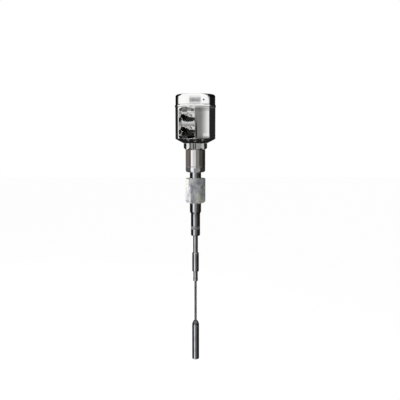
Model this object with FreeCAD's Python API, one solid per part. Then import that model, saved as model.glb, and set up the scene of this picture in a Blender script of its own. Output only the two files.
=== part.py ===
"""Capacitive level probe with a stainless head, a rope electrode and a gravity weight.

Units are millimetres. +Z is up along the probe's axis. The origin is on that axis, on the
underside of the plastic hexagon bush, where the process spigot starts. The front is -Y.
"""
import FreeCAD
import Part
import math
import os

V = FreeCAD.Vector
UP = V(0, 0, 1)
BEVEL = "bevel"

# Driving dimensions of the housing
housing_diameter = 94.0
housing_wall = 3.8
housing_bottom_z = 151.0
cone_height = 10.0
cone_foot_diameter = 56.0
bead_stand = 1.0
bead_height = 5.4
bead_bottom_z = 224.2
floor_thickness = 8.0
floor_flat_inset = 13.2
floor_slope = 0.58
shoulder_width = 6.0
neck_thread_height = 14.4
neck_wall = 3.5
swivel_spigot_wall = 4.3
swivel_spigot_height = 9.0

# Driving dimensions of the recessed panel that carries the two cable glands
panel_azimuth = 27.7
panel_depth = 10.9
panel_width = 40.6
panel_bottom_z = 155.6
panel_top_z = 214.0
panel_top_slope = 0.78
panel_bottom_slope = 0.32
panel_corner_radius = 4.0
panel_rim_radius = 0.8

# Driving dimensions of the lid
lid_inset = 1.5
lid_height = 23.4
lid_edge_radius = 5.0
lid_top_thickness = 5.0
lid_seam = 0.5
seal_cord_diameter = 2.5
seal_sides = 6
lock_screw_azimuth = 24.5
lock_screw_z = 239.1
lock_screw_diameter = 4.0
lock_screw_sink = 0.6

# Driving dimensions of a cable gland, along its own axis from the panel outward
gland_heights = {"upper": 200.0, "lower": 172.0}
gland_gasket_thickness = 1.2
gland_hex_shoulder = 1.6
gland_hex_length = 5.5
gland_thread_diameter = 15.8
gland_thread_length = 8.3
gland_inner_length = 5.5
gland_cap_wall = 1.1
gland_cap_length = 15.4
gland_cap_hex_length = 7.2
gland_mouth_diameter = 10.0
gland_bore_diameter = 10.4
gland_lip_length = 3.0

# Driving dimensions of the swivel, the neck and the process fitting
lock_nut_wall = 4.1
lock_nut_height = 14.4
lock_nut_shoulder = 3.2
lock_nut_chamfer = 3.9
swivel_tube_diameter = 31.0
retaining_ring_height = 1.0
retaining_groove_depth = 1.1
neck_diameter = 46.5
neck_bottom_z = 86.5
neck_top_seam = 0.6
neck_bore_diameter = 24.0
neck_socket_depth = 13.5
neck_socket_diameter = 34.0
collar_bottom_z = 73.0
collar_flats = 41.0
collar_flats_height = 10.0
collar_groove = 0.5
stem_diameter = 27.0
stem_bore_diameter = 16.0
bush_flats = 41.0
bush_height = 58.5
bush_ring_height = 14.0
spigot_length = 26.5
spigot_taper_length = 4.7
spigot_relief_length = 1.6
spigot_relief_depth = 0.6
spigot_relief_rise = 1.0
tube_shank_inset = 1.4
tube_shank_length = 18.0

# Driving dimensions of the electrode below the fitting
tube_diameter = 22.0
tube_bottom_z = -57.0
ring_height = 7.3
ring_collar_length = 8.0
end_collar_height = 15.7
rod_diameter = 11.5
shank_diameter = 6.0
core_top_drop = 3.0
rod_nut_flats = 10.0
rod_nut_height = 4.0
sleeve_diameter = 16.1
sleeve_top_z = -122.0
sleeve_length = 46.5
sleeve_mark_depth = 0.4
sleeve_mark_drop = 5.4
sleeve_mark_width = 0.9
ferrule_top_diameter = 10.7
ferrule_mouth_diameter = 11.2
ferrule_length = 23.3
ferrule_mouth_height = 6.0
ferrule_step_height = 2.0
rope_pivot_depth = 2.0
rope_diameter = 6.0
rope_free_length = 99.3
rope_swing_limit = 20.0
rope_swing_spare = 3.0
rope_seat_gap = 0.5
weight_diameter = 17.0
weight_length = 98.2
weight_nose_length = 12.7
weight_nose_diameter = 7.2
weight_nose_bulge = 1.3
weight_socket_depth = 17.5
weight_foot_bevel = 0.7
grub_diameter = 5.0
grub_azimuths = [20.0, 200.0]
grub_sink = 0.8
grub_drop = 0.6

# Driving dimensions of the electronics in the head
module_boss_gap = 0.5
module_height = 9.0
module_wall = 2.0
board_ledge = 1.5
board_thickness = 1.58
board_drop = 2.2
boss_rise = 3.4
ear_thickness = 3.0
boss_diameter = 9.0
boss_wall_gap = 3.7
block_back_gap = 7.0
block_side_gap = 1.52
block_end_wall = 1.5
block_depth = 12.0
block_height = 18.0
terminal_count = 5
terminal_setback = 8.0
contact_diameter = 2.8
contact_spring_pitch = 1.7
screw_diameter = 3.9
screw_hole_diameter = 4.4
screw_reach = 7.5
screw_head_diameter = 6.8
screw_head_height = 2.4
earth_washer_width = 8.0
earth_washer_thickness = 1.2

# Clearances
thread_gap = 0.1
slip_gap = 0.05
soft_gap = 0.3
seat_gap = 0.3
end_gap = 0.5
face_gap = 0.05

# Heights and radii that follow from the driving dimensions
housing_radius = housing_diameter / 2
housing_inner_radius = housing_radius - housing_wall
bead_radius = housing_radius + bead_stand
neck_thread_radius = bead_radius - shoulder_width
lid_radius = bead_radius - lid_inset
panel_distance = housing_radius - panel_depth
floor_flat_radius = housing_inner_radius - floor_flat_inset
boss_centre = housing_inner_radius - boss_wall_gap - boss_diameter / 2
module_radius = boss_centre - boss_diameter / 2 - module_boss_gap
module_inner_radius = module_radius - module_wall
block_back_y = module_inner_radius - block_back_gap
block_front_y = block_back_y - block_depth
block_width = 2 * (math.sqrt(module_inner_radius ** 2 - block_back_y ** 2) - block_side_gap)
terminal_pitch = (block_width - 2 * block_end_wall) / terminal_count
cone_bottom_z = housing_bottom_z - cone_height
spigot_bottom_z = cone_bottom_z - swivel_spigot_height
floor_z = cone_bottom_z + floor_thickness
shoulder_z = bead_bottom_z + bead_height
neck_top_z = shoulder_z + neck_thread_height
lid_bottom_z = shoulder_z + lid_seam
lid_top_z = lid_bottom_z + lid_height
swivel_tube_radius = swivel_tube_diameter / 2
swivel_bore_radius = swivel_tube_radius + thread_gap
swivel_spigot_radius = swivel_bore_radius + swivel_spigot_wall
lock_nut_flats = 2 * (swivel_spigot_radius + lock_nut_wall)
gland_hex_flats = gland_thread_diameter + 2 * gland_hex_shoulder
gland_cap_flats = gland_thread_diameter + 2 * gland_cap_wall
nut_top_z = cone_bottom_z - seat_gap
nut_bottom_z = nut_top_z - lock_nut_height
neck_shoulder_z = nut_bottom_z - neck_top_seam
swivel_tube_top_z = floor_z + 3.0
retaining_ring_z = floor_z + seat_gap
collar_top_z = neck_bottom_z - collar_groove
ring_bottom_z = tube_bottom_z - ring_height
end_collar_bottom_z = ring_bottom_z - end_collar_height
sleeve_bottom_z = sleeve_top_z - sleeve_length
ferrule_top_z = sleeve_bottom_z - 0.2
ferrule_bottom_z = ferrule_top_z - ferrule_length
weight_top_z = ferrule_bottom_z - rope_free_length
weight_bottom_z = weight_top_z - weight_length
rod_top_z = swivel_tube_top_z + 0.5
module_bottom_z = rod_top_z + 2.0
module_top_z = module_bottom_z + module_height


def outline(corners):
    """A closed face in the XZ plane.

    A corner is (x, z), (x, z, rounding radius) or (x, z, bevel length, BEVEL).
    """
    points = [V(c[0], 0, c[1]) for c in corners]
    edges = []
    spans = []
    for i, corner in enumerate(corners):
        here = points[i]
        if len(corner) == 2:
            spans.append((here, here, None))
            continue
        size = corner[2]
        back = (points[i - 1] - here).normalize()
        ahead = (points[(i + 1) % len(points)] - here).normalize()
        half = back.getAngle(ahead) / 2
        reach = size if BEVEL in corner else size / math.tan(half)
        start = here + back * reach
        end = here + ahead * reach
        if BEVEL in corner:
            spans.append((start, end, Part.makeLine(start, end)))
            continue
        bisector = (back + ahead).normalize()
        centre = here + bisector * (size / math.sin(half))
        middle = centre - bisector * size
        spans.append((start, end, Part.Arc(start, middle, end).toShape()))
    for i, (start, end, edge) in enumerate(spans):
        if edge:
            edges.append(edge)
        following = spans[(i + 1) % len(spans)][0]
        if end.distanceToPoint(following) > 1e-7:
            edges.append(Part.makeLine(end, following))
    return Part.Face(Part.Wire(edges))


def turned(corners):
    """A solid of revolution about Z from the corners of its half section."""
    return outline(corners).revolve(V(0, 0, 0), UP, 360)


def disc(radius, low, high, centre=(0, 0)):
    """An upright cylinder between two heights."""
    return Part.makeCylinder(radius, high - low, V(centre[0], centre[1], low))


def ring(outer, inner, low, high):
    """An upright ring between two heights."""
    return disc(outer, low, high).cut(disc(inner, low - 1, high + 1))


def hexagon(flats, low, high):
    """An upright hexagonal prism with two of its corners on the X axis."""
    radius = flats / math.sqrt(3)
    points = [
        V(radius * math.cos(math.radians(a)), radius * math.sin(math.radians(a)), low)
        for a in range(0, 361, 60)
    ]
    return Part.Face(Part.makePolygon(points)).extrude(V(0, 0, high - low))


def seal_ring(middle_radius, cord_radius, z):
    """An O-ring that lies flat at one height, its round section drawn with few sides."""
    corners = []
    for i in range(seal_sides):
        a = 2 * math.pi * (i + 0.5) / seal_sides
        corners.append((middle_radius + cord_radius * math.cos(a), z + cord_radius * math.sin(a)))
    return turned(corners)


def block(low, high):
    """A box between two corners."""
    return Part.makeBox(high[0] - low[0], high[1] - low[1], high[2] - low[2], V(*low))


def outward(azimuth):
    """The horizontal direction at an azimuth, where 0 is the front and + is to the right."""
    a = math.radians(azimuth)
    return V(math.sin(a), -math.cos(a), 0)


def radial(azimuth, distance, z, solid):
    """A solid made along +Z from the origin, laid outward at an azimuth, distance and height."""
    away = outward(azimuth)
    side = UP.cross(away)
    turn = FreeCAD.Rotation(side, UP, away, "ZXY")
    place = FreeCAD.Placement(away * distance + UP * z, turn)
    placed = solid.copy()
    placed.Placement = place.multiply(placed.Placement)
    return placed


def hex_socket(flats, depth, top):
    """The socket of a grub screw or cap screw, open at its top."""
    return hexagon(flats, top - depth, top + 1)


def panel_tool(grow):
    """What the recessed panel takes out of the housing, or with its wall when grown."""
    face = panel_distance - grow
    low = panel_bottom_z - grow
    high = panel_top_z + grow
    far = housing_radius + 12.0
    half = panel_width / 2 + grow
    section = outline([
        (face, low),
        (far, low - panel_bottom_slope * (far - face)),
        (far, high + panel_top_slope * (far - face)),
        (face, high),
    ])
    tool = section.extrude(V(0, 2 * half, 0))
    tool.translate(V(0, -half, 0))
    if grow == 0:
        inner = [e for e in tool.Edges if e.BoundBox.XMin < far - 1]
        tool = tool.makeFillet(panel_corner_radius, inner)
    # The tool was made along +X, which is azimuth 90
    tool.rotate(V(0, 0, 0), UP, -panel_azimuth - 90)
    return tool


def gland_places():
    """The name and height of each cable gland."""
    return gland_heights.items()


def module_boss_places():
    """The centres of the bosses that carry the module's ears."""
    return [(-boss_centre, 0.0), (boss_centre, 0.0)]


def earth_boss_place():
    """The centre of the boss behind the module that carries the earth terminal."""
    return (0.0, boss_centre)


def housing_body():
    """The cast head with its recessed gland panel, threaded neck and swivel spigot."""
    cone_radius = cone_foot_diameter / 2
    outer = turned([
        (0, spigot_bottom_z),
        (swivel_spigot_radius - 1.0, spigot_bottom_z),
        (swivel_spigot_radius, spigot_bottom_z + 1.0),
        (swivel_spigot_radius, cone_bottom_z),
        (cone_radius, cone_bottom_z),
        (housing_radius, housing_bottom_z, 2.0),
        (housing_radius, bead_bottom_z),
        (bead_radius, bead_bottom_z, 0.8, BEVEL),
        (bead_radius, shoulder_z, 1.0, BEVEL),
        (neck_thread_radius, shoulder_z),
        (neck_thread_radius, neck_top_z, 0.8, BEVEL),
        (0, neck_top_z),
    ])
    inner_radius = housing_inner_radius
    neck_inner = neck_thread_radius - neck_wall
    rise = floor_flat_inset * floor_slope
    cavity = turned([
        (0, floor_z),
        (floor_flat_radius, floor_z),
        (inner_radius, floor_z + rise),
        (inner_radius, bead_bottom_z - 6.0),
        (neck_inner, bead_bottom_z - 1.0),
        (neck_inner, neck_top_z + 5.0),
        (0, neck_top_z + 5.0),
    ])
    cavity = cavity.cut(panel_tool(housing_wall))
    body = outer.cut(panel_tool(0))
    rim = [e for e in body.Edges if on_panel_rim(e)]
    body = body.makeFillet(panel_rim_radius, rim)
    body = body.cut(cavity)
    bosses = module_boss_places() + [earth_boss_place()]
    for centre in bosses:
        body = body.fuse(disc(boss_diameter / 2, floor_z - 2.0, boss_top_z(), centre))
    for centre in bosses:
        body = body.cut(disc(screw_diameter / 2 + face_gap, floor_z + 0.5, boss_top_z() + 1, centre))
    body = body.cut(disc(swivel_bore_radius, spigot_bottom_z - 1, floor_z + 1))
    hole = disc(gland_thread_diameter / 2 + thread_gap, -housing_wall - 6, 2)
    for name, z in gland_places():
        body = body.cut(radial(-panel_azimuth, panel_distance, z, hole))
    return body


def boss_top_z():
    """The height at which the module's ears rest."""
    return module_bottom_z + boss_rise


def on_panel_rim(edge):
    """Whether an edge is where the recessed panel breaks out of the round housing."""
    box = edge.BoundBox
    if box.ZMax > bead_bottom_z - 0.1 or box.ZMin < housing_bottom_z - 0.1:
        return False
    away = outward(-panel_azimuth)
    side = UP.cross(away)
    first, last = edge.ParameterRange
    for i in range(5):
        p = edge.valueAt(first + (last - first) * (i + 0.5) / 5)
        if abs(math.hypot(p.x, p.y) - housing_radius) > 0.05:
            return False
        if p.dot(away) < panel_distance or abs(p.dot(side)) > panel_width / 2 + 0.1:
            return False
    return True


def lid():
    """The screw lid: a turned cap with a female thread and a seal groove in its skirt."""
    bore = neck_thread_radius + thread_gap
    groove = seal_middle_radius() + seal_cord_diameter / 2 + soft_gap
    groove_top = seal_z() + seal_cord_diameter / 2 + soft_gap
    under = lid_top_z - lid_top_thickness
    cap = turned([
        (0, under),
        (bore - 2.0, under),
        (bore, under - 2.0),
        (bore, groove_top),
        (groove, groove_top),
        (groove, lid_bottom_z),
        (lid_radius, lid_bottom_z, 0.5, BEVEL),
        (lid_radius, lid_top_z, lid_edge_radius),
        (0, lid_top_z),
    ])
    hole = disc(lock_screw_diameter / 2, -10, 10)
    return cap.cut(radial(lock_screw_azimuth, lid_radius, lock_screw_z, hole))


def seal_middle_radius():
    """The radius of the lid seal's centre line."""
    return neck_thread_radius + 0.5 + seal_cord_diameter / 2


def seal_z():
    """The height of the lid seal's centre line."""
    return lid_bottom_z + seal_cord_diameter / 2 + 0.05


def lid_lock_screw():
    """The grub screw through the lid's skirt that stops the lid from turning."""
    radius = lock_screw_diameter / 2 - slip_gap
    length = lid_radius - neck_thread_radius - soft_gap - lock_screw_sink
    screw = disc(radius, -length, 0).cut(hex_socket(2.0, 1.8, 0))
    return radial(lock_screw_azimuth, lid_radius - lock_screw_sink, lock_screw_z, screw)


def gland_body():
    """The gland's nickel-plated body, along its own axis from the panel."""
    thread = gland_thread_diameter / 2
    hex_low = gland_gasket_thickness
    hex_high = hex_low + gland_hex_length
    end = hex_high + gland_thread_length
    blank = disc(thread, -gland_inner_length, end)
    corner = gland_hex_flats / math.sqrt(3)
    crown = turned([
        (0, hex_low),
        (corner - 0.8, hex_low),
        (corner, hex_low + 0.5),
        (corner, hex_high - 0.5),
        (corner - 0.8, hex_high),
        (0, hex_high),
    ])
    blank = blank.fuse(hexagon(gland_hex_flats, hex_low, hex_high).common(crown))
    blank = blank.cut(disc(gland_bore_diameter / 2, -gland_inner_length - 1, end + 1))
    return blank.cut(disc(gland_seat_radius(), hex_high + 0.3, end + 1))


def gland_seat_radius():
    """The radius of the seat that holds the gland's rubber seal."""
    return gland_thread_diameter / 2 - 1.0


def gland_gasket():
    """The flat gasket between the panel and the gland's hexagon."""
    inner = gland_thread_diameter / 2 + thread_gap
    return ring(gland_hex_flats / 2 + 0.8, inner, 0.02, gland_gasket_thickness - 0.02)


def gland_seal_end():
    """Where the rubber seal ends, along the gland's axis."""
    return gland_gasket_thickness + gland_hex_length + gland_thread_length + 2.2


def gland_seal():
    """The rubber seal that grips the cable."""
    start = gland_gasket_thickness + gland_hex_length + 0.5
    end = gland_seal_end()
    radius = gland_seat_radius() - 0.15
    bore = gland_bore_diameter / 2 - 0.1
    return turned([
        (bore, start),
        (radius, start),
        (radius, end - 2.0),
        (radius - 0.9, end),
        (bore, end),
    ])


def gland_slip_ring():
    """The thin ring between the seal and the cap, which moves out with the cap."""
    low = gland_seal_end() + 0.15
    return ring(gland_seat_radius(), gland_bore_diameter / 2, low, low + 0.7)


def gland_cap():
    """The gland's dome nut with its black mouth, hexagon at the back and domed nose."""
    low = gland_gasket_thickness + gland_hex_length + seat_gap
    high = low + gland_cap_length
    hex_high = low + gland_cap_hex_length
    corner = gland_cap_flats / math.sqrt(3)
    half_flat = gland_cap_flats / 2
    crown = turned([
        (0, low),
        (corner - 0.7, low),
        (corner, low + 0.5),
        (corner, hex_high - 0.9),
        (half_flat - 0.3, hex_high),
        (0, hex_high),
    ])
    mouth = gland_mouth_diameter / 2
    nose = turned([
        (0, low + 1),
        (half_flat - 0.4, low + 1),
        (half_flat - 0.4, high - 3.4, 3.0),
        (mouth + 2.7, high, 0.8, BEVEL),
        (0, high),
    ])
    inside = turned([
        (0, low - 1),
        (gland_thread_diameter / 2 + slip_gap, low - 1),
        (gland_thread_diameter / 2 + slip_gap, gland_seal_end() + 1.1),
        (mouth, high - gland_lip_length),
        (mouth, high - 0.5),
        (mouth + 0.6, high + 0.1),
        (0, high + 0.1),
    ])
    return hexagon(gland_cap_flats, low, hex_high).common(crown).fuse(nose).cut(inside)


def lock_nut():
    """The hexagon nut under the cone that locks the head's swivel."""
    corner = lock_nut_flats / math.sqrt(3)
    chamfer = lock_nut_chamfer
    blank = turned([
        (0, nut_bottom_z),
        (corner - chamfer, nut_bottom_z),
        (corner, nut_bottom_z + chamfer),
        (corner, nut_top_z - 0.8),
        (corner - 1.4, nut_top_z),
        (0, nut_top_z),
    ])
    nut = hexagon(lock_nut_flats, nut_bottom_z, nut_top_z).common(blank)
    nut = nut.cut(disc(swivel_tube_radius + 0.4, nut_bottom_z - 1, nut_top_z + 1))
    bore = swivel_spigot_radius + thread_gap
    return nut.cut(disc(bore, nut_bottom_z + lock_nut_shoulder, nut_top_z + 1))


def lock_clamp_ring():
    """The clamp ring that the lock nut presses against the spigot's end."""
    low = nut_bottom_z + lock_nut_shoulder + 0.15
    high = spigot_bottom_z - seat_gap
    return ring(swivel_spigot_radius - 0.3, swivel_tube_radius + 0.2, low, high)


def neck_sleeve():
    """The polished neck, with the swivel tube that the head turns on."""
    radius = neck_diameter / 2
    body = turned([
        (neck_bore_diameter / 2, neck_bottom_z + neck_socket_depth),
        (neck_socket_diameter / 2, neck_bottom_z + neck_socket_depth),
        (neck_socket_diameter / 2, neck_bottom_z),
        (radius, neck_bottom_z, 0.4, BEVEL),
        (radius, neck_shoulder_z, 0.9, BEVEL),
        (swivel_tube_radius, neck_shoulder_z),
        (swivel_tube_radius, swivel_tube_top_z),
        (neck_bore_diameter / 2, swivel_tube_top_z),
    ])
    body = body.cut(groove(swivel_tube_radius, 2.1, swivel_seal_z() - 1.3, 2.6))
    groove_low = retaining_ring_z - 0.1
    return body.cut(groove(swivel_tube_radius, retaining_groove_depth, groove_low, retaining_ring_height + 0.2))


def groove(radius, depth, low, height):
    """A ring of material to take off a shaft."""
    return ring(radius + 1, radius - depth, low, low + height)


def swivel_seal_z():
    """The height of the swivel's O-ring."""
    return (cone_bottom_z + floor_z) / 2


def swivel_seal():
    """The O-ring that seals the swivel tube in the housing's bore."""
    cord = 0.85
    return seal_ring(swivel_tube_radius - soft_gap - cord + thread_gap, cord, swivel_seal_z())


def retaining_ring():
    """The open spring ring that keeps the head on its swivel tube."""
    inner = swivel_tube_radius - retaining_groove_depth + 0.1
    whole = ring(swivel_tube_radius + 2.2, inner, retaining_ring_z, retaining_ring_z + retaining_ring_height)
    return whole.cut(block((-2.5, inner - 3, retaining_ring_z - 1), (2.5, 30, floor_z + 4)))


def stem_fitting():
    """The process fitting: a flatted collar, its stem through the bush, and the spigot."""
    collar = neck_diameter / 2
    stem = stem_diameter / 2
    bore = stem_bore_diameter / 2
    top = neck_bottom_z + neck_socket_depth - end_gap
    socket_depth = tube_shank_length + end_gap
    blank = turned([
        (bore, top),
        (bore, -spigot_length + socket_depth),
        (tube_shank_radius() + slip_gap, -spigot_length + socket_depth),
        (tube_shank_radius() + slip_gap, -spigot_length),
        (tube_diameter / 2, -spigot_length),
        (stem, -spigot_length + spigot_taper_length),
        (stem, collar_bottom_z),
        (collar - 2.6, collar_bottom_z, 0.8, BEVEL),
        (collar, collar_bottom_z + 2.8, 0.8, BEVEL),
        (collar, collar_top_z, 0.3, BEVEL),
        (neck_socket_diameter / 2 - slip_gap, collar_top_z),
        (neck_socket_diameter / 2 - slip_gap, top),
    ])
    flats_top = collar_bottom_z + collar_flats_height
    waste = ring(collar + 5, 1, collar_bottom_z - 0.01, flats_top)
    waste = waste.cut(hexagon(collar_flats, collar_bottom_z - 1, flats_top + 1))
    # The relief goes up into the bush, so that the bush's underside alone is the seat
    relief_height = spigot_relief_length + spigot_relief_rise
    relief = groove(stem, spigot_relief_depth, -spigot_relief_length, relief_height)
    return blank.cut(waste).cut(relief)


def process_bush():
    """The milky plastic bush: a round ring above a hexagon with rounded lower corners."""
    corner = bush_flats / math.sqrt(3)
    ring_low = bush_height - bush_ring_height
    bore = stem_diameter / 2 + slip_gap
    blank = turned([
        (bore, 0),
        (corner - 3.0, 0, 0.8, BEVEL),
        (corner, 3.0, 2.5),
        (corner, bush_height, 1.0, BEVEL),
        (bore, bush_height),
    ])
    waste = ring(corner + 5, 1, -1, ring_low)
    return blank.cut(waste.cut(hexagon(bush_flats, -2, ring_low + 1)))


def tube_shank_radius():
    """The radius of the screen tube's shank in the spigot."""
    return tube_diameter / 2 - tube_shank_inset


def screen_tube():
    """The screen tube under the spigot, with a shank that goes up into it."""
    bore = stem_bore_diameter / 2 + slip_gap
    shank = tube_shank_radius()
    return turned([
        (bore, tube_bottom_z),
        (tube_diameter / 2, tube_bottom_z, 0.3, BEVEL),
        (tube_diameter / 2, -spigot_length - face_gap),
        (shank, -spigot_length - face_gap),
        (shank, -spigot_length + tube_shank_length),
        (bore, -spigot_length + tube_shank_length),
    ])


def screen_insulator():
    """The matt insulating ring between the screen tube and the end collar."""
    bore = shank_diameter / 2 + slip_gap
    return turned([
        (bore, ring_bottom_z),
        (tube_diameter / 2 - 0.1, ring_bottom_z),
        (tube_diameter / 2 - 0.1, tube_bottom_z - face_gap),
        (stem_bore_diameter / 2, tube_bottom_z - face_gap),
        (stem_bore_diameter / 2, tube_bottom_z + ring_collar_length),
        (bore, tube_bottom_z + ring_collar_length),
    ])


def core_insulator():
    """The long sleeve that keeps the rod's shank off the screen, stem and neck."""
    bore = shank_diameter / 2 + slip_gap
    slim = stem_bore_diameter / 2 - slip_gap
    wide = neck_bore_diameter / 2 - slip_gap
    low = tube_bottom_z + ring_collar_length + 4 * face_gap
    step = neck_bottom_z + neck_socket_depth + end_gap
    top = floor_z - core_top_drop
    return turned([
        (bore, low),
        (slim, low),
        (slim, step),
        (wide, step),
        (wide, top),
        (bore, top),
    ])


def end_collar():
    """The steel collar below the insulating ring."""
    return turned([
        (rod_diameter / 2 + slip_gap, end_collar_bottom_z),
        (tube_diameter / 2, end_collar_bottom_z, 1.4, BEVEL),
        (tube_diameter / 2, ring_bottom_z - face_gap),
        (rod_diameter / 2 + slip_gap, ring_bottom_z - face_gap),
    ])


def probe_rod():
    """The rod with its slim shank up to the head."""
    radius = rod_diameter / 2
    shank = shank_diameter / 2
    return turned([
        (0, sleeve_top_z - sleeve_length / 2 + 1.0),
        (radius, sleeve_top_z - sleeve_length / 2 + 1.0),
        (radius, ring_bottom_z - 2 * face_gap),
        (shank, ring_bottom_z - 2 * face_gap),
        (shank, rod_top_z),
        (0, rod_top_z),
    ])


def rod_nut():
    """The nut on the shank that clamps the core insulator."""
    low = floor_z - core_top_drop + 2 * face_gap
    nut = hexagon(rod_nut_flats, low, low + rod_nut_height)
    bore = disc(shank_diameter / 2 + slip_gap, low - 1, low + rod_nut_height + 1)
    return nut.cut(bore)


def coupling_sleeve():
    """The sleeve that joins the rod to the rope's ferrule, with a turned mark near its top."""
    radius = sleeve_diameter / 2
    sleeve = turned([
        (rod_diameter / 2 + slip_gap, sleeve_bottom_z),
        (radius - 1.2, sleeve_bottom_z),
        (radius, sleeve_bottom_z + 1.2),
        (radius, sleeve_top_z - 0.8),
        (radius - 0.8, sleeve_top_z),
        (rod_diameter / 2 + slip_gap, sleeve_top_z),
    ])
    return sleeve.cut(groove(radius, sleeve_mark_depth, sleeve_top_z - sleeve_mark_drop, sleeve_mark_width))


def rope_pivot_z():
    """The point just inside the ferrule's mouth where the rope starts to bend."""
    return ferrule_bottom_z + rope_pivot_depth


def rope_ferrule():
    """The swaged ferrule, with a rounded seat and a flared mouth for the rope."""
    mouth = ferrule_mouth_diameter / 2
    top = ferrule_top_diameter / 2
    body = turned([
        (0, ferrule_bottom_z),
        (mouth, ferrule_bottom_z, 0.5, BEVEL),
        (mouth, ferrule_bottom_z + ferrule_mouth_height),
        (top, ferrule_bottom_z + ferrule_mouth_height + ferrule_step_height),
        (top, ferrule_top_z, 0.3, BEVEL),
        (0, ferrule_top_z),
    ])
    shank = disc(rod_diameter / 2, ferrule_top_z, ferrule_top_z + sleeve_length / 2 - 3.0)
    seat = rope_diameter / 2 + rope_seat_gap
    over = 0.2
    flare = (rope_pivot_depth + over) * math.tan(math.radians(rope_swing_limit + rope_swing_spare))
    hollow = turned([
        (0, ferrule_bottom_z - over),
        (seat + flare, ferrule_bottom_z - over),
        (seat, rope_pivot_z()),
        (0, rope_pivot_z()),
    ]).fuse(Part.makeSphere(seat, V(0, 0, rope_pivot_z())))
    return body.fuse(shank).cut(hollow)


def probe_rope():
    """The rope electrode, plain, with a round upper end about its bending point."""
    radius = rope_diameter / 2
    end = weight_top_z - weight_socket_depth + 1.0
    straight = disc(radius, end, rope_pivot_z())
    return straight.fuse(Part.makeSphere(radius, V(0, 0, rope_pivot_z())))


def gravity_weight():
    """The turned weight: a rounded nose, a rope socket and a flat foot."""
    radius = weight_diameter / 2
    nose = weight_nose_diameter / 2
    shoulder = weight_top_z - weight_nose_length
    start = V(nose, 0, weight_top_z)
    end = V(radius, 0, shoulder)
    # The arc's middle lies outside its chord, so that the nose is full and not a plain cone
    chord = end - start
    out = V(-chord.z, 0, chord.x).normalize()
    middle = (start + end) * 0.5 + out * weight_nose_bulge
    foot = weight_foot_bevel
    edges = [
        Part.Arc(start, middle, end).toShape(),
        Part.makeLine(end, V(radius, 0, weight_bottom_z + foot)),
        Part.makeLine(V(radius, 0, weight_bottom_z + foot), V(radius - foot, 0, weight_bottom_z)),
        Part.makeLine(V(radius - foot, 0, weight_bottom_z), V(0, 0, weight_bottom_z)),
        Part.makeLine(V(0, 0, weight_bottom_z), V(0, 0, weight_top_z)),
        Part.makeLine(V(0, 0, weight_top_z), start),
    ]
    body = Part.Face(Part.Wire(edges)).revolve(V(0, 0, 0), UP, 360)
    socket = disc(rope_diameter / 2 + 0.1, weight_top_z - weight_socket_depth, weight_top_z + 1)
    body = body.cut(socket)
    for azimuth in grub_azimuths:
        body = body.cut(radial(azimuth, 0, grub_z(), disc(grub_diameter / 2, 0, radius + 1)))
    return body


def grub_z():
    """The height of the grub screws that clamp the rope."""
    return weight_top_z - weight_nose_length - grub_drop


def weight_grub_screws():
    """Two grub screws that clamp the rope in the weight."""
    low = rope_diameter / 2 + 0.12
    high = weight_diameter / 2 - grub_sink
    screw = disc(grub_diameter / 2 - slip_gap, low, high).cut(hex_socket(2.5, 2.0, high))
    return Part.makeCompound([radial(a, 0, grub_z(), screw) for a in grub_azimuths])


def electronics_cup():
    """The potted module's cup, with two ears for its screws and a hole for the contact."""
    radius = module_radius
    cup = turned([
        (0, module_bottom_z),
        (radius, module_bottom_z),
        (radius, module_top_z),
        (module_inner_radius, module_top_z),
        (module_inner_radius, board_z()),
        (module_inner_radius - board_ledge, board_z()),
        (module_inner_radius - board_ledge, module_bottom_z + module_wall),
        (0, module_bottom_z + module_wall),
    ])
    reach = boss_centre
    half = boss_diameter / 2
    low = boss_top_z() + face_gap
    high = low + ear_thickness
    bar = block((-reach, -half, low), (reach, half, high))
    for x in (-reach, reach):
        bar = bar.fuse(disc(half, low, high, (x, 0)))
    bar = bar.cut(disc(radius - 0.5, low - 1, high + 1))
    cup = cup.fuse(bar)
    for x in (-reach, reach):
        cup = cup.cut(disc(screw_hole_diameter / 2, low - 1, high + 1, (x, 0)))
    hole = disc(contact_diameter / 2 + 0.2, module_bottom_z - 1, module_bottom_z + module_wall + 1)
    return cup.cut(hole)


def board_z():
    """The height of the ledge that the circuit board rests on."""
    return module_top_z - board_drop


def circuit_board():
    """The round circuit board on the cup's ledge, under its terminal block."""
    return disc(module_inner_radius - 0.1, board_z() + 0.02, board_z() + 0.02 + board_thickness)


def contact_pin():
    """The spring-loaded pin that meets the rod's top on the probe's axis."""
    pin = contact_diameter / 2
    low = module_bottom_z + module_wall + seat_gap
    top = board_z() - 0.6
    return turned([
        (0, rod_top_z + seat_gap),
        (pin, rod_top_z + seat_gap),
        (pin, low),
        (pin + 1.2, low),
        (pin + 1.2, low + 0.8),
        (pin - 0.5, low + 0.8),
        (pin - 0.5, top),
        (0, top),
    ])


def contact_spring():
    """The small helical spring round the contact pin."""
    wire = 0.3
    low = module_bottom_z + module_wall + 1.1 + wire + 0.05
    height = board_z() - wire - 0.05 - low
    path = Part.makeHelix(contact_spring_pitch, height, 1.9)
    corners = [(1.9 - wire, -wire), (1.9 + wire, -wire), (1.9 + wire, wire), (1.9 - wire, wire)]
    profile = Part.makePolygon([V(x, 0, z) for x, z in corners + corners[:1]])
    spring = Part.Wire(path).makePipeShell([profile], True, True)
    spring.translate(V(0, 0, low))
    return spring


def terminal_places():
    """The X position of each terminal."""
    first = -(terminal_count - 1) * terminal_pitch / 2
    return [first + i * terminal_pitch for i in range(terminal_count)]


def block_low_z():
    """The terminal block stands on the circuit board."""
    return board_z() + 0.04 + board_thickness


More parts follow.
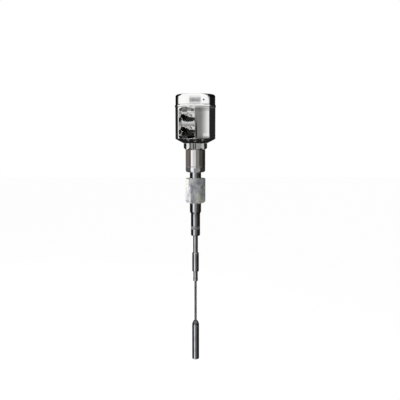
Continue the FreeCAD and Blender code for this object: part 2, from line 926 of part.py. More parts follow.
def terminal_block():
    """The terminal block with its wire entries in front and screw wells on top."""
    low = block_low_z()
    top = low + block_height
    half = block_width / 2
    body = block((-half, block_front_y, low), (half, block_back_y, top))
    step = block((-half - 1, block_front_y - 1, top - 5), (half + 1, block_front_y + 4, top + 1))
    body = body.cut(step)
    for x in terminal_places():
        near = (x - 1.6, block_front_y - 1, low + 5.5)
        body = body.cut(block(near, (x + 1.6, block_front_y + 6, low + 8.7)))
        body = body.cut(disc(2.2, top - 6.0, top + 1, (x, block_front_y + terminal_setback)))
    return body


def terminal_screws():
    """The terminal block's clamp screws."""
    top = block_low_z() + block_height
    screws = []
    for x in terminal_places():
        y = block_front_y + terminal_setback
        screws.append(disc(2.1, top - 5.9, top - 3.5, (x, y)))
    return Part.makeCompound(screws)


def cap_screw(centre, low):
    """A cheese-head screw, its head resting at a height."""
    shank = disc(screw_diameter / 2, low - screw_reach, low, centre)
    return shank.fuse(disc(screw_head_diameter / 2, low, low + screw_head_height, centre))


def module_screws():
    """The two screws that hold the module's ears on their bosses."""
    low = boss_top_z() + face_gap + ear_thickness + 0.03
    return Part.makeCompound([cap_screw(centre, low) for centre in module_boss_places()])


def earth_washer():
    """The square clamp washer of the earth terminal."""
    x, y = earth_boss_place()
    low = boss_top_z() + 0.02
    half = earth_washer_width / 2
    plate = block((x - half, y - half, low), (x + half, y + half, low + earth_washer_thickness))
    return plate.cut(disc(screw_diameter / 2 + 0.15, low - 1, low + 3, (x, y)))


def earth_screw():
    """The earth terminal's screw."""
    return cap_screw(earth_boss_place(), boss_top_z() + face_gap + earth_washer_thickness)


def nodes():
    """Every sub-part by its name."""
    made = {
        "housing_body": housing_body(),
        "lid": lid(),
        "lid_seal": seal_ring(seal_middle_radius(), seal_cord_diameter / 2, seal_z()),
        "lid_lock_screw": lid_lock_screw(),
        "lock_nut": lock_nut(),
        "lock_clamp_ring": lock_clamp_ring(),
        "neck_sleeve": neck_sleeve(),
        "swivel_seal": swivel_seal(),
        "retaining_ring": retaining_ring(),
        "stem_fitting": stem_fitting(),
        "process_bush": process_bush(),
        "screen_tube": screen_tube(),
        "screen_insulator": screen_insulator(),
        "core_insulator": core_insulator(),
        "end_collar": end_collar(),
        "probe_rod": probe_rod(),
        "rod_nut": rod_nut(),
        "coupling_sleeve": coupling_sleeve(),
        "rope_ferrule": rope_ferrule(),
        "probe_rope": probe_rope(),
        "gravity_weight": gravity_weight(),
        "weight_grub_screws": weight_grub_screws(),
        "electronics_cup": electronics_cup(),
        "circuit_board": circuit_board(),
        "contact_pin": contact_pin(),
        "contact_spring": contact_spring(),
        "terminal_block": terminal_block(),
        "terminal_screws": terminal_screws(),
        "module_screws": module_screws(),
        "earth_washer": earth_washer(),
        "earth_screw": earth_screw(),
    }
    gland = {
        "body": gland_body(),
        "gasket": gland_gasket(),
        "seal": gland_seal(),
        "slip_ring": gland_slip_ring(),
        "cap": gland_cap(),
    }
    for side, z in gland_places():
        for piece, solid in gland.items():
            name = "gland_" + side + "_" + piece
            made[name] = radial(-panel_azimuth, panel_distance, z, solid)
    return made


os.makedirs("parts", exist_ok=True)
for name, shape in nodes().items():
    if not shape.isValid():
        raise ValueError(name + " is not a valid shape")
    shape.exportStep("parts/" + name + ".step")
    print(name, len(shape.Solids), round(shape.Volume, 1))
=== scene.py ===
"""Looks of the capacitive level probe: camera, rope, finishes, studio light and pale floor.

Lengths are metres in the part's own frame: +Z up along the probe's axis, the front is -Y and
+X is to the right. Azimuths are degrees round that axis, 0 at the front and + to the right.
"""
import math

import bpy
import numpy as np
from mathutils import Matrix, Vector

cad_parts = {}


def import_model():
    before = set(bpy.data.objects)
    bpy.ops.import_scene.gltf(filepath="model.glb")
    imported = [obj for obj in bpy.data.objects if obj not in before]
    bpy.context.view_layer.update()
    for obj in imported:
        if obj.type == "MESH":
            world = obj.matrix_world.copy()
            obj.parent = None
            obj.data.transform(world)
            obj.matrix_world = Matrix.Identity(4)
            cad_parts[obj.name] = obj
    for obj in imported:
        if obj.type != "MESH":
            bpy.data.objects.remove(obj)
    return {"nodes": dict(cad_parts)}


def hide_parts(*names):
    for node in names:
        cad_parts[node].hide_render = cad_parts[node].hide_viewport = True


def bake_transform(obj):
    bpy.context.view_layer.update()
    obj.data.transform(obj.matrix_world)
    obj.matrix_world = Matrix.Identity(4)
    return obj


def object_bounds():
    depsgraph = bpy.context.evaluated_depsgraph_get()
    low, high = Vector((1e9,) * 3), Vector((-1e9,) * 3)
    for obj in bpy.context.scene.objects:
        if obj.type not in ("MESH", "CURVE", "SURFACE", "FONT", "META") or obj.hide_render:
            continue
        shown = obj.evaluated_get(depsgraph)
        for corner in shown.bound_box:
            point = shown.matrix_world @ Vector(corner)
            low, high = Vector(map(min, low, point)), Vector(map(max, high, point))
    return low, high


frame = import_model()
cad_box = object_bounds()
nodes = frame["nodes"]

# The camera stands level with the foot of the head and looks slightly down
CAMERA_PLACE = (0.0108, -1.2, 0.1486)
CAMERA_PITCH = 6.776
CAMERA_LENS = 45.45

# The rope, from its bending point in the ferrule's mouth down into the weight
ROPE_DIAMETER = 0.006
ROPE_ROUTE = [(0, 0, -0.1898), (0, 0, -0.249), (0, 0, -0.3078)]

# The rope's strands and wires, and the lengths over which each makes one turn
STRANDS = 6
WIRES_IN_STRAND = 6
ROPE_LAY = ROPE_DIAMETER * 6.5
STRAND_LAY = ROPE_DIAMETER * 2.2

# The floor, and how much of it shows as the white background
FLOOR_DEPTH = 0.13
FLOOR_SIZE = 16.0
BACKGROUND_LIGHT = 1.115
BACKGROUND_SHARE = 0.86
EVEN_LIGHT = 0.13

# The round wall that the steel mirrors, its finer rows where the probe's steel looks
WALL_RADIUS = 2.0
STRIPS_RADIUS = 1.97
STANDS_RADIUS = 1.96
WALL_BOTTOM = -1.75
WALL_TOP = 2.75
WALL_STEP_ANGLE = 1.5
WALL_STEPS = [(WALL_BOTTOM, 0.03), (-0.77, 0.008), (-0.05, 0.006), (0.13, 0.004), (0.46, 0.03)]
DISC_COLUMNS = 72
DISC_RINGS = 24
DISC_HOLE = 0.02

# The bright oval card: its distance, azimuths, heights and brightness
OVAL_RADIUS = 1.0
OVAL_AZIMUTHS = (-78, -52)
OVAL_HEIGHTS = (-0.12, -0.02)
OVAL_LIGHT = 1.3


def camera():
    """The camera at the photograph's viewing angle."""
    data = bpy.data.cameras.new("camera")
    data.lens = CAMERA_LENS
    data.sensor_width = 36.0
    view = bpy.data.objects.new("camera", data)
    view.location = CAMERA_PLACE
    view.rotation_euler = (math.radians(90 - CAMERA_PITCH), 0, 0)
    bpy.context.collection.objects.link(view)
    bpy.context.scene.camera = view


def mesh_object(name, points, faces, smooth=True):
    """An object from points and faces."""
    mesh = bpy.data.meshes.new(name)
    mesh.from_pydata([tuple(p) for p in points], [], faces)
    mesh.polygons.foreach_set("use_smooth", [smooth] * len(mesh.polygons))
    mesh.update()
    made = bpy.data.objects.new(name, mesh)
    bpy.context.collection.objects.link(made)
    return made


def route_points(route):
    """Points along the smooth line that a route of a few points draws."""
    curve = bpy.data.curves.new("route", "CURVE")
    curve.dimensions = "3D"
    spline = curve.splines.new("NURBS")
    spline.points.add(len(route) - 1)
    for point, place in zip(spline.points, route):
        point.co = (*place, 1)
    spline.order_u = 3
    spline.use_endpoint_u = True
    curve.resolution_u = 48
    holder = bpy.data.objects.new("route", curve)
    bpy.context.collection.objects.link(holder)
    bpy.context.view_layer.update()
    evaluated = holder.evaluated_get(bpy.context.evaluated_depsgraph_get())
    mesh = bpy.data.meshes.new_from_object(evaluated)
    points = [v.co.copy() for v in mesh.vertices]
    bpy.data.objects.remove(holder)
    bpy.data.meshes.remove(mesh)
    return points


def walk(points):
    """Each point of a line with the two directions square to the line there."""
    side = Vector((1, 0, 0))
    for i, here in enumerate(points):
        ahead = points[min(i + 1, len(points) - 1)] - points[max(i - 1, 0)]
        ahead.normalize()
        side = (side - ahead * side.dot(ahead)).normalized()
        yield here, side, ahead.cross(side)


def beside(here, side, up, radius, angle):
    """The point at a distance and an angle round a point of a line."""
    return here + side * (radius * math.cos(angle)) + up * (radius * math.sin(angle))


def tube_along(points, radius, sides):
    """The points and faces of a closed tube of one radius along a line."""
    rings = [
        beside(*place, radius, 2 * math.pi * k / sides)
        for place in walk(points) for k in range(sides)
    ]
    faces = []
    for i in range(len(points) - 1):
        for k in range(sides):
            low = i * sides + k
            side_low = i * sides + (k + 1) % sides
            faces.append((low, side_low, side_low + sides, low + sides))
    faces.append(tuple(reversed(range(sides))))
    last = (len(points) - 1) * sides
    faces.append(tuple(range(last, last + sides)))
    return rings, faces


def helix_about(points, radius, lay, phase):
    """A line that winds round another, one turn for each lay length."""
    turned = []
    travel = 0.0
    before = points[0]
    for here, side, up in walk(points):
        travel += (here - before).length
        before = here
        turned.append(beside(here, side, up, radius, 2 * math.pi * travel / lay + phase))
    return turned


def wire_rope():
    """The probe rope: six strands of wires laid round a core strand."""
    strand_radius = ROPE_DIAMETER / 6
    strand_circle = ROPE_DIAMETER / 2 - strand_radius
    wire_radius = strand_radius / 3
    wire_circle = strand_radius - wire_radius
    line = route_points(ROPE_ROUTE)
    points, faces = tube_along(line, strand_radius * 1.02, 8)

    def add_tube(middle, radius):
        more, more_faces = tube_along(middle, radius, 6)
        faces.extend(tuple(v + len(points) for v in f) for f in more_faces)
        points.extend(more)

    for s in range(STRANDS):
        strand = helix_about(line, strand_circle, ROPE_LAY, 2 * math.pi * s / STRANDS)
        add_tube(strand, strand_radius * 0.62)
        for w in range(WIRES_IN_STRAND):
            phase = 2 * math.pi * w / WIRES_IN_STRAND
            add_tube(helix_about(strand, wire_circle, -STRAND_LAY, phase), wire_radius * 1.06)
    rope = mesh_object("rope", points, faces)
    wire = steel("rope_wire", (0.44, 0.44, 0.49), (0.26, 0.26, 0.30), 0.36, 900, 0.2)
    rope.data.materials.append(wire.material)
    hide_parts("probe_rope")
    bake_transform(rope)
    [tuple(p) for p in line]


class Finish:
    """A node material under construction, with short calls for the nodes it uses."""

    def __init__(self, name):
        self.material = bpy.data.materials.new(name)
        self.material.use_nodes = True
        self.tree = self.material.node_tree
        self.shader = self.tree.nodes["Principled BSDF"]
        self.place = self.add("ShaderNodeTexCoord").outputs["Object"]

    def add(self, kind, **values):
        node = self.tree.nodes.new(kind)
        for key, value in values.items():
            if key in node.bl_rna.properties:
                setattr(node, key, value)
            else:
                node.inputs[key.replace("_", " ")].default_value = value
        return node

    def link(self, source, target):
        self.tree.links.new(source, target)

    def set(self, **values):
        for key, value in values.items():
            self.shader.inputs[key.replace("_", " ")].default_value = value

    def noise(self, scale, stretch=(1, 1, 1), detail=3.0, roughness=0.55):
        """Noise between about 0.3 and 0.7, stretched along the axes."""
        mapping = self.add("ShaderNodeMapping")
        mapping.inputs["Scale"].default_value = stretch
        self.link(self.place, mapping.inputs["Vector"])
        made = self.add("ShaderNodeTexNoise", Scale=scale, Detail=detail, Roughness=roughness)
        self.link(mapping.outputs["Vector"], made.inputs["Vector"])
        return made.outputs["Fac"]

    def ramp(self, value, stops):
        """A colour ramp, its stops given as (position, colour)."""
        made = self.add("ShaderNodeValToRGB")
        elements = made.color_ramp.elements
        while len(elements) < len(stops):
            elements.new(0.5)
        for element, (position, colour) in zip(elements, stops):
            element.position = position
            element.color = (*colour, 1)
        self.link(value, made.inputs["Fac"])
        return made.outputs["Color"]

    def spread(self, value, low, high, start=0.35, end=0.65, curve="LINEAR"):
        """A value between low and high as the input goes from start to end."""
        made = self.add("ShaderNodeMapRange", interpolation_type=curve)
        made.inputs["From Min"].default_value = start
        made.inputs["From Max"].default_value = end
        made.inputs["To Min"].default_value = low
        made.inputs["To Max"].default_value = high
        self.link(value, made.inputs["Value"])
        return made.outputs["Result"]

    def bump(self, height, strength, distance=0.0002):
        """Relief from a height."""
        made = self.add("ShaderNodeBump", Strength=strength, Distance=distance)
        self.link(height, made.inputs["Height"])
        return made.outputs["Normal"]

    def base(self, value):
        self.link(value, self.shader.inputs["Base Color"])

    def surface(self, roughness, relief):
        self.link(roughness, self.shader.inputs["Roughness"])
        self.link(relief, self.shader.inputs["Normal"])


def upward(finish, output):
    """The vertical part of the surface's normal or position."""
    geometry = finish.add("ShaderNodeNewGeometry")
    split = finish.add("ShaderNodeSeparateXYZ")
    finish.link(geometry.outputs[output], split.inputs["Vector"])
    return split.outputs["Z"]


def facing_up(finish, start, end):
    """0 where the surface faces down past one steepness, 1 where it faces up past another."""
    return finish.spread(upward(finish, "Normal"), 0.0, 1.0, start, end, "SMOOTHSTEP")


def below(finish, start, end):
    """1 under one height of the probe, 0 above another."""
    return finish.spread(upward(finish, "Position"), 1.0, 0.0, start, end, "SMOOTHSTEP")


def painted_shade_over(finish, share, dark):
    """A finish with painted shade: its colour darkened over a share of it."""
    entry = finish.shader.inputs["Base Color"]
    mixed = finish.add("ShaderNodeMixRGB")
    finish.link(entry.links[0].from_socket, mixed.inputs["Color1"])
    mixed.inputs["Color2"].default_value = (*dark, 1.0)
    finish.link(share, mixed.inputs["Fac"])
    finish.link(mixed.outputs["Color"], entry)
    return finish


def housing_steel():
    """The head's polished steel, with painted shade darkening the upturned floor of the recess
    under the glands.
    """
    finish = steel("polished_head", (0.95, 0.95, 0.94), (0.88, 0.88, 0.88), 0.03, 700, 0.02, 0.03)
    recess_floor_shade = finish.add("ShaderNodeMath", operation="MULTIPLY")
    finish.link(facing_up(finish, 0.003, 0.05), recess_floor_shade.inputs[0])
    finish.link(below(finish, 0.166, 0.172), recess_floor_shade.inputs[1])
    return painted_shade_over(finish, recess_floor_shade.outputs["Value"], (0.04, 0.04, 0.04))


def gland_nickel():
    """The glands' nickel plate, with painted shade darkening the sides that don't face up."""
    finish = steel("nickel_plate", (0.94, 0.93, 0.91), (0.86, 0.84, 0.81), 0.05, 500, 0.02, 0.05)
    under = finish.add("ShaderNodeMath", operation="SUBTRACT")
    under.inputs[0].default_value = 1.0
    finish.link(facing_up(finish, 0.05, 0.75), under.inputs[1])
    return painted_shade_over(finish, under.outputs["Value"], (0.02, 0.02, 0.02))


def weight_steel():
    """The weight's dark steel, with painted shade darkening the faces that turn up round its nose.
    """
    finish = steel("weight_steel", (0.50, 0.50, 0.52), (0.40, 0.40, 0.42), 0.08, 1000, 0.04, 0.06)
    return painted_shade_over(finish, facing_up(finish, 0.05, 0.35), (0.13, 0.13, 0.14))


def steel(name, light, dark, roughness, grain, grain_strength, smudge=0.06):
    """Steel whose turning marks run round the probe's axis, with faint smudges."""
    finish = Finish(name)
    finish.set(Metallic=1.0)
    cloud = finish.noise(45.0, detail=4.0)
    marks = finish.noise(grain, stretch=(0.015, 0.015, 1.0), detail=2.0)
    finish.base(finish.ramp(cloud, [(0.36, dark), (0.62, light)]))
    worn = finish.noise(14.0, detail=5.0)
    finish.surface(
        finish.spread(worn, roughness, roughness + smudge), finish.bump(marks, grain_strength)
    )
    return finish


def plastic(name, light, dark, roughness, relief=0.15):
    """Moulded plastic or rubber with faint clouding and a fine skin."""
    finish = Finish(name)
    cloud = finish.noise(60.0, detail=4.0)
    finish.base(finish.ramp(cloud, [(0.35, dark), (0.65, light)]))
    skin = finish.noise(1400.0, detail=2.0)
    finish.surface(
        finish.spread(skin, roughness - 0.06, roughness + 0.06), finish.bump(skin, relief, 0.0001)
    )
    return finish


def ring_plastic():
    """The insulating ring's matt grey plastic, filled with metal."""
    finish = plastic("ring_plastic", (0.42, 0.42, 0.41), (0.34, 0.34, 0.34), 0.5)
    finish.set(Metallic=0.6)
    return finish


def milky_plastic():
    """The bush's translucent plastic: pale, clouded, with faint warm and cool patches."""
    finish = Finish("milky_bush")
    cloud = finish.noise(75.0, detail=5.0, roughness=0.65)
    tint = finish.noise(38.0, stretch=(1.0, 1.0, 0.8), detail=3.0)
    pale = finish.ramp(cloud, [(0.36, (0.42, 0.43, 0.44)), (0.60, (0.88, 0.89, 0.87))])
    patches = finish.ramp(tint, [
        (0.38, (0.90, 0.88, 0.97)), (0.5, (1.0, 1.0, 1.0)), (0.62, (0.97, 0.98, 0.86)),
    ])
    mixed = finish.add("ShaderNodeMixRGB", blend_type="MULTIPLY")
    mixed.inputs["Fac"].default_value = 1.0
    finish.link(pale, mixed.inputs["Color1"])
    finish.link(patches, mixed.inputs["Color2"])
    finish.base(mixed.outputs["Color"])
    finish.set(Subsurface_Weight=0.35, Subsurface_Scale=0.006, Subsurface_Radius=(1.0, 1.0, 0.9))
    skin = finish.noise(600.0, detail=3.0)
    finish.surface(finish.spread(skin, 0.3, 0.45), finish.bump(skin, 0.2, 0.0001))
    return finish


def dress(finish, *names):
    """Gives CAD nodes the material of a finish."""
    material = finish.material
    for name in names:
        node = nodes[name]
        if not node.material_slots:
            node.data.materials.append(material)
        for slot in node.material_slots:
            slot.material = material


def finishes():
    """The finish of every CAD node that is shown."""
    dress(housing_steel(), "housing_body")
    dress(
        steel("polished_lid", (0.97, 0.97, 0.96), (0.92, 0.92, 0.92), 0.035, 700, 0.02, 0.03),
        "lid",
    )
    dress(
        steel("neck_steel", (0.94, 0.93, 0.92), (0.84, 0.83, 0.82), 0.025, 900, 0.01, 0.02),
        "neck_sleeve",
    )
    dress(
        steel("nut_steel", (0.92, 0.92, 0.91), (0.82, 0.82, 0.82), 0.008, 800, 0.0, 0.006),
        "lock_nut",
    )
    dress(
        steel("stem_steel", (0.93, 0.93, 0.94), (0.82, 0.82, 0.83), 0.02, 900, 0.0, 0.02),
        "stem_fitting",
    )
    dress(
        steel("rod_steel", (0.55, 0.55, 0.55), (0.46, 0.46, 0.46), 0.05, 1000, 0.03, 0.05),
        "screen_tube", "end_collar", "probe_rod", "coupling_sleeve", "rope_ferrule",
    )
    dress(weight_steel(), "gravity_weight")
    dress(
        steel("inner_steel", (0.70, 0.70, 0.70), (0.55, 0.55, 0.56), 0.25, 900, 0.2),
        "lock_clamp_ring", "rod_nut", "retaining_ring", "weight_grub_screws", "module_screws",
        "earth_screw", "earth_washer", "terminal_screws", "contact_spring",
    )
    dress(
        steel("lock_screw_steel", (0.10, 0.10, 0.11), (0.05, 0.05, 0.05), 0.4, 900, 0.2),
        "lid_lock_screw",
    )
    dress(
        steel("contact_metal", (0.80, 0.62, 0.30), (0.65, 0.48, 0.22), 0.25, 900, 0.2),
        "contact_pin",
    )
    glands = ["gland_upper_", "gland_lower_"]
    dress(gland_nickel(), *[g + part for g in glands for part in ("body", "cap")])
    rubber = plastic("black_rubber", (0.020, 0.020, 0.021), (0.010, 0.010, 0.011), 0.62, relief=0.4)
    dress(rubber, *[g + part for g in glands for part in ("gasket", "seal")])
    dress(rubber, "lid_seal", "swivel_seal")
    amber = plastic("slip_plastic", (0.62, 0.60, 0.52), (0.52, 0.50, 0.43), 0.45)
    dress(amber, *[g + "slip_ring" for g in glands])
    dress(milky_plastic(), "process_bush")
    dress(ring_plastic(), "screen_insulator")
    core = plastic("core_plastic", (0.80, 0.80, 0.78), (0.70, 0.70, 0.68), 0.5)
    dress(core, "core_insulator")
    cup = plastic("cup_plastic", (0.03, 0.03, 0.032), (0.018, 0.018, 0.02), 0.5)
    dress(cup, "electronics_cup")
    board = plastic("board_green", (0.03, 0.17, 0.07), (0.02, 0.11, 0.045), 0.4)
    dress(board, "circuit_board")
    block = plastic("block_green", (0.05, 0.32, 0.16), (0.035, 0.24, 0.12), 0.45)
    dress(block, "terminal_block")


def floor():
    """A plain pale floor that keeps the object's shadow."""
    low = cad_box[0].z - FLOOR_DEPTH
    half = FLOOR_SIZE / 2
    corners = [(-half, -half, low), (half, -half, low), (half, half, low), (-half, half, low)]
    plane = mesh_object("floor", corners, [(0, 1, 2, 3)], smooth=False)
    finish = Finish("pale_floor")
    cloud = finish.noise(3.0, detail=3.0)
    finish.base(finish.ramp(cloud, [(0.3, (0.90, 0.90, 0.90)), (0.7, (0.93, 0.93, 0.93))]))
    finish.set(Roughness=0.9)
    background = finish.add("ShaderNodeEmission", Strength=BACKGROUND_LIGHT)
    share = finish.add("ShaderNodeMath", operation="MULTIPLY")
    finish.link(background_rays(finish.tree), share.inputs[0])
    share.inputs[1].default_value = BACKGROUND_SHARE
    mix = finish.add("ShaderNodeMixShader")
    finish.link(share.outputs["Value"], mix.inputs["Fac"])
    finish.link(finish.shader.outputs["BSDF"], mix.inputs[1])
    finish.link(background.outputs["Emission"], mix.inputs[2])
    output = finish.tree.nodes["Material Output"]
    finish.link(mix.outputs["Shader"], output.inputs["Surface"])
    plane.data.materials.append(finish.material)
    plane.visible_glossy = False


def background_rays(tree):
    """1 for the rays that see the white background: the camera's, glossy and transmitted ones."""
    path = tree.nodes.new("ShaderNodeLightPath")
    seen = path.outputs["Is Camera Ray"]
    for kind in ("Is Glossy Ray", "Is Transmission Ray"):
        either = tree.nodes.new("ShaderNodeMath")
        either.operation = "MAXIMUM"
        tree.links.new(seen, either.inputs[0])
        tree.links.new(path.outputs[kind], either.inputs[1])
        seen = either.outputs["Value"]
    return seen


def world():
    """White surroundings, and a low even light from everywhere."""
    made = bpy.data.worlds.new("studio")
    bpy.context.scene.world = made
    made.use_nodes = True
    tree = made.node_tree
    white = tree.nodes["Background"]
    white.inputs["Color"].default_value = (1, 1, 1, 1)
    white.inputs["Strength"].default_value = 1.0
    even = tree.nodes.new("ShaderNodeBackground")
    even.inputs["Color"].default_value = (0.96, 0.98, 1.0, 1)
    even.inputs["Strength"].default_value = EVEN_LIGHT
    mix = tree.nodes.new("ShaderNodeMixShader")
    tree.links.new(background_rays(tree), mix.inputs["Fac"])
    tree.links.new(even.outputs["Background"], mix.inputs[1])
    tree.links.new(white.outputs["Background"], mix.inputs[2])
    tree.links.new(mix.outputs["Shader"], tree.nodes["World Output"].inputs["Surface"])


def lamp(name, azimuth, height, distance, size, power):
    """A soft square lamp that points at the middle of the probe. Mirrors see the wall instead."""
    data = bpy.data.lights.new(name, "AREA")
    data.shape = "SQUARE"
    data.size = size
    data.energy = power
    made = bpy.data.objects.new(name, data)
    made.location = on_round(azimuth, distance, height)
    made.rotation_euler = (-made.location).to_track_quat("-Z", "Y").to_euler()
    made.visible_glossy = False
    bpy.context.collection.objects.link(made)


def card(light, azimuths, heights, side=3, level=0.002, share=1.0):
    """One soft box or flag of the studio, as the upright steel of the probe mirrors it.

    light is a brightness or a colour as it is displayed, azimuths are from and to in degrees,
    and heights are those on the probe whose upright steel mirrors the card. side and level
    are the widths of its soft edges, in degrees and in metres, and share is how much it covers.
    """
    colour = light if isinstance(light, tuple) else (light,) * 3
    return np.array(colour), azimuths, heights, side, level, share


ALL_ROUND = (-400, 400)

# Over the lid it is light in front and between two dark flags behind
ABOVE_CARDS = [
    card(1.0, ALL_ROUND, (0.258, 1.3), 0, 0.004),
    card(0.05, (-186, -99), (0.20, 0.86), 6, 0.10),
    card(0.05, (73, 186), (0.20, 1.05), 6, 0.10),
    card(1.0, (178, 184), (0.256, 0.90), 1.5, 0.004),
]

# The lid mirrors one wide soft box with a grey box in front of it
LID = (0.2242, 0.258)
LID_CARDS = [
    card(0.10, ALL_ROUND, LID, 0, 0.001),
    card(1.0, (-115, 86), LID, 15, 0.001),
    card(0.45, (-34, 31), (0.2345, 0.2442), 10, 0.002),
    card(0.05, (-150, -112), (0.2462, 0.2600), 4, 0.002),
    card(0.05, (75, 140), (0.2462, 0.2600), 4, 0.002),
]

# The body mirrors a light strip at the left, grey in front and a soft box at the right that
# ends at a flag, with a thin stand in front, a light edge low down and shade under the bead
BODY = (0.145, 0.2240)
BODY_CARDS = [
    card(0.15, ALL_ROUND, BODY, 0, 0.001),
    card(1.0, (-117, -86), BODY, 4, 0.001),
    card(0.50, (-84, 85), BODY, 4, 0.001),
    card(0.95, (55, 140), BODY, 60, 0.001),
    card(0.15, (85, 220), BODY, 5, 0.001),
    card(0.20, (-82, 85), (0.2160, 0.2240), 6, 0.005, 0.5),
    card(0.10, (2, 10), (0.140, 0.190), 3, 0.040),
    card(1.0, (44, 86), (0.1575, 0.1620), 8, 0.002),
    card(0.40, (8, 90), (0.145, 0.1560), 8, 0.002),
]

# The flat panel with the glands mirrors one narrow stretch, light above and dark below
PANEL = (-68, -46)
PANEL_CARDS = [
    card(0.85, PANEL, (0.1850, 0.2160), 2, 0.012),
    card(0.05, PANEL, (0.1400, 0.1800), 2, 0.010),
]

# The neck and the collar mirror a dim left, a soft box, and greys that darken to the right
NECK = (0.0725, 0.1450)
NECK_CARDS = [
    card(0.15, ALL_ROUND, NECK, 0, 0.001),
    card((0.45, 0.42, 0.40), (-180, -70), NECK, 8, 0.001),
    card(1.0, (-55, -30), NECK, 8, 0.001),
    card(0.85, (-30, 5), NECK, 6, 0.001),
    card(0.50, (5, 45), NECK, 8, 0.001),
    card((0.30, 0.28, 0.26), (45, 90), NECK, 8, 0.001),
]

# All that hangs below mirrors a cool soft box, grey in front and a warm dim right
LOWER = (-0.6000, 0.0725)
LOWER_CARDS = [
    card(0.10, ALL_ROUND, LOWER, 0, 0.001),
    card((0.90, 0.92, 0.95), (-55, -20), LOWER, 12, 0.001),
    card(0.50, (-18, 25), LOWER, 12, 0.001),
    card((0.25, 0.22, 0.20), (25, 70), LOWER, 15, 0.001),
]


def stronger(cards, heights):
    """The same cards with more light over a stretch of heights, for darker steel."""
    return [(colour * 1.25, azimuths, heights, *rest) for colour, azimuths, _, *rest in cards]


WALL_CARDS = (
    ABOVE_CARDS + LID_CARDS + BODY_CARDS + PANEL_CARDS + NECK_CARDS + LOWER_CARDS
    + stronger(LOWER_CARDS, (-0.6000, -0.0300))
)
WALL_COLOUR = 0.12

# On the ground and under the ceiling the cards' heights are distances from the axis
GROUND_COLOUR = 0.12
GROUND_CARDS = [
    card(0.60, (-60, 20), (0.0, 1.2), 12, 0.2),
    card(0.50, (160, 206), (0.8, 1.7), 8, 0.3),
]
CEILING_COLOUR = 1.0
CEILING_CARDS = [
    card(0.10, (92, 150), (1.2, 2.5), 12, 0.4),
]

# Narrow cards that the flat faces of the nut and the collar mirror, each given by the face's
# azimuth, the stretch of the face that mirrors it from 0 on its left to 1, and a brightness:
# light and grey fields with a few dark stands between them
NUT_FLATS = 0.048
NUT_HEIGHTS = (0.1255, 0.1420)
NUT_STRIPS = [
    (-60, 0.0, 0.5, 0.15),
    (-60, 0.5, 1.0, 0.95),
    (0, 0.0, 0.1, 0.10),
    (0, 0.1, 1.0, 0.60),
    (60, 0.0, 0.45, 0.75),
    (60, 0.45, 1.0, 0.15),
]
NUT_STANDS = [
    (0, 0.30, 0.38, 0.10),
    (0, 0.46, 0.54, 0.10),
]
COLLAR_FLATS = 0.041
COLLAR_HEIGHTS = (0.0715, 0.0850)
COLLAR_STRIPS = [
    (-60, 0.0, 1.0, 0.35),
    (0, 0.0, 0.33, 1.0),
    (0, 0.33, 1.0, 0.55),
    (60, 0.0, 1.0, 0.20),
]


def light_of(display):
    """The light that a displayed brightness or colour stands for."""
    return ((np.asarray(display, float) + 0.055) / 1.055) ** 2.4


def faded(value, span, fade):
    """How much of a card shows at a value, between 0 and 1, with soft edges of a width."""
    fade = max(fade, 1e-6)
    rise = np.clip((value - span[0]) / fade + 0.5, 0, 1)
    fall = np.clip((span[1] - value) / fade + 0.5, 0, 1)
    return rise * rise * (3 - 2 * rise) * fall * fall * (3 - 2 * fall)


def laid_over(base, cards, azimuth, height):
    """The light at each place, with the later cards over the earlier ones."""
    light = np.ones(azimuth.shape + (3,)) * light_of(base)
    for colour, azimuths, heights, side, level, share in cards:
        cover = np.zeros(azimuth.shape)
        for turn in (-360, 0, 360):
            cover = np.maximum(cover, faded(azimuth + turn, azimuths, side))
        cover = cover * faded(height, heights, level) * share
        light += cover[..., None] * (light_of(colour) - light)
    return light.reshape(-1, 3)


def mirrored_height(wall_height):
    """The height on the probe where upright steel mirrors a height on the wall."""
    run = WALL_RADIUS / -CAMERA_PLACE[1]
    return (wall_height + CAMERA_PLACE[2] * run) / (1 + run)


def wall_height(probe_height, radius):
    """The height on a wall of a radius that upright steel at a height on the probe mirrors."""
    run = radius / -CAMERA_PLACE[1]
    return probe_height * (1 + run) - CAMERA_PLACE[2] * run


def on_round(azimuth, radius, height):
    """The point at an azimuth, a distance from the axis and a height."""
    a = math.radians(azimuth)
    return (radius * math.sin(a), -radius * math.cos(a), height)


def all_on_round(azimuth, radius, height):
    """The points at arrays of azimuths, distances from the axis and heights."""
    around = np.radians(azimuth)
    height = np.broadcast_to(height, azimuth.shape)
    places = np.stack([radius * np.sin(around), -radius * np.cos(around), height], axis=-1)
    return places.reshape(-1, 3)


def mirror_wall():
    """The round wall with its cards, which only the steel's reflections see."""
    columns = int(360 / WALL_STEP_ANGLE)
    azimuths = np.arange(columns) * WALL_STEP_ANGLE - 180
    ends = [start for start, _ in WALL_STEPS[1:]] + [WALL_TOP]
    spans = [np.arange(start, end, step) for (start, step), end in zip(WALL_STEPS, ends)]
    heights = np.concatenate(spans + [[WALL_TOP]])
    azimuth, height = np.meshgrid(azimuths, heights)
    points = all_on_round(azimuth, WALL_RADIUS, height)
    wall = mesh_object("mirror_wall", points, grid_faces(len(heights), columns))
    shade(wall, laid_over(WALL_COLOUR, WALL_CARDS, azimuth, mirrored_height(height)))


def grid_faces(rows, columns):
    """The faces between rows of points that run all the way round."""
    faces = []
    for r in range(rows - 1):
        for c in range(columns):
            right = (c + 1) % columns
            low = r * columns
            high = low + columns
            faces.append((low + c, low + right, high + right, high + c))
    return faces


def mirror_disc(name, height, base, cards):
    """The ground or the ceiling of the round wall, with its own cards."""
    distances = np.linspace(DISC_HOLE, WALL_RADIUS, DISC_RINGS)
    azimuths = np.arange(DISC_COLUMNS) * 360 / DISC_COLUMNS - 180
    azimuth, distance = np.meshgrid(azimuths, distances)
    points = all_on_round(azimuth, distance, height)
    disc = mesh_object(name, points, grid_faces(DISC_RINGS, DISC_COLUMNS))
    shade(disc, laid_over(base, cards, azimuth, distance))


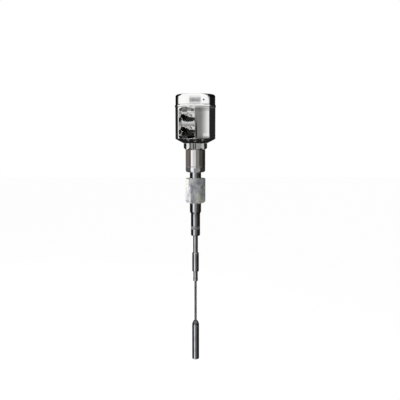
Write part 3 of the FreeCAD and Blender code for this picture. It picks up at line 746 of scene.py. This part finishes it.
def corners_on_round(azimuths, radius, heights):
    """The four corners of a card between two azimuths and two heights."""
    (left, right), (low, high) = azimuths, heights
    corners = [(left, low), (right, low), (right, high), (left, high)]
    return [on_round(azimuth, radius, height) for azimuth, height in corners]


def mirrored_azimuth(x, y, face_azimuth, radius):
    """The azimuth of the place on a round wall that an upright face mirrors at a point."""
    normal = Vector(on_round(face_azimuth, 1, 0)).to_2d()
    ray = (Vector((x, y)) - Vector(CAMERA_PLACE[:2])).normalized()
    away = ray - normal * (2 * ray.dot(normal))
    middle = Vector((x, y)).dot(away)
    run = -middle + math.sqrt(middle ** 2 - (x * x + y * y - radius ** 2))
    place = Vector((x, y)) + away * run
    return math.degrees(math.atan2(place.x, -place.y))


def mirror_strips(name, flats, heights, strips, radius):
    """The narrow cards for the flat faces of a hexagon with two corners on the X axis."""
    corner = flats / math.sqrt(3)
    points = []
    faces = []
    colours = []
    for face_azimuth, start, end, light in strips:
        left = Vector(on_round(face_azimuth - 30, corner, 0))
        right = Vector(on_round(face_azimuth + 30, corner, 0))
        span = []
        for f in (start, end):
            place = left.lerp(right, f)
            span.append(mirrored_azimuth(place.x, place.y, face_azimuth, radius))
        faces.append(tuple(range(len(points), len(points) + 4)))
        points += corners_on_round(span, radius, [wall_height(h, radius) for h in heights])
        colours += [light_of(light) * np.ones(3)] * 4
    shade(mesh_object(name, points, faces, smooth=False), np.array(colours))


def panel_top_card():
    """The bright card that shows as an oval in the slope over the recessed panel."""
    points = corners_on_round(OVAL_AZIMUTHS, OVAL_RADIUS, OVAL_HEIGHTS)
    made = mesh_object("mirror_oval_card", points, [(0, 1, 2, 3)], smooth=False)
    shade(made, np.full((4, 3), OVAL_LIGHT))


def shade(card_object, colours):
    """Makes a mesh glow with a colour for each point, seen by mirrors alone."""
    attribute = card_object.data.color_attributes.new("light", "FLOAT_COLOR", "POINT")
    full = np.ones((len(colours), 4))
    full[:, :3] = colours
    attribute.data.foreach_set("color", full.ravel())
    material = bpy.data.materials.new(card_object.name)
    material.use_nodes = True
    tree = material.node_tree
    tree.nodes.remove(tree.nodes["Principled BSDF"])
    read = tree.nodes.new("ShaderNodeAttribute")
    read.attribute_name = "light"
    glow = tree.nodes.new("ShaderNodeEmission")
    tree.links.new(read.outputs["Color"], glow.inputs["Color"])
    tree.links.new(glow.outputs["Emission"], tree.nodes["Material Output"].inputs["Surface"])
    card_object.data.materials.append(material)
    card_object.visible_camera = False
    card_object.visible_diffuse = False
    card_object.visible_shadow = False
    card_object.visible_transmission = False


camera()
wire_rope()
finishes()
world()
floor()
mirror_wall()
mirror_disc("mirror_ground", WALL_BOTTOM, GROUND_COLOUR, GROUND_CARDS)
mirror_disc("mirror_ceiling", WALL_TOP, CEILING_COLOUR, CEILING_CARDS)
mirror_strips("mirror_nut_strips", NUT_FLATS, NUT_HEIGHTS, NUT_STRIPS, STRIPS_RADIUS)
mirror_strips("mirror_nut_stands", NUT_FLATS, NUT_HEIGHTS, NUT_STANDS, STANDS_RADIUS)
mirror_strips("mirror_collar_strips", COLLAR_FLATS, COLLAR_HEIGHTS, COLLAR_STRIPS, STRIPS_RADIUS)
panel_top_card()
lamp("key", -84, 0.25, 1.6, 1.0, 27)
lamp("fill", 40, 0.5, 2.0, 1.2, 3)
bpy.context.scene.view_settings.view_transform = "Standard"
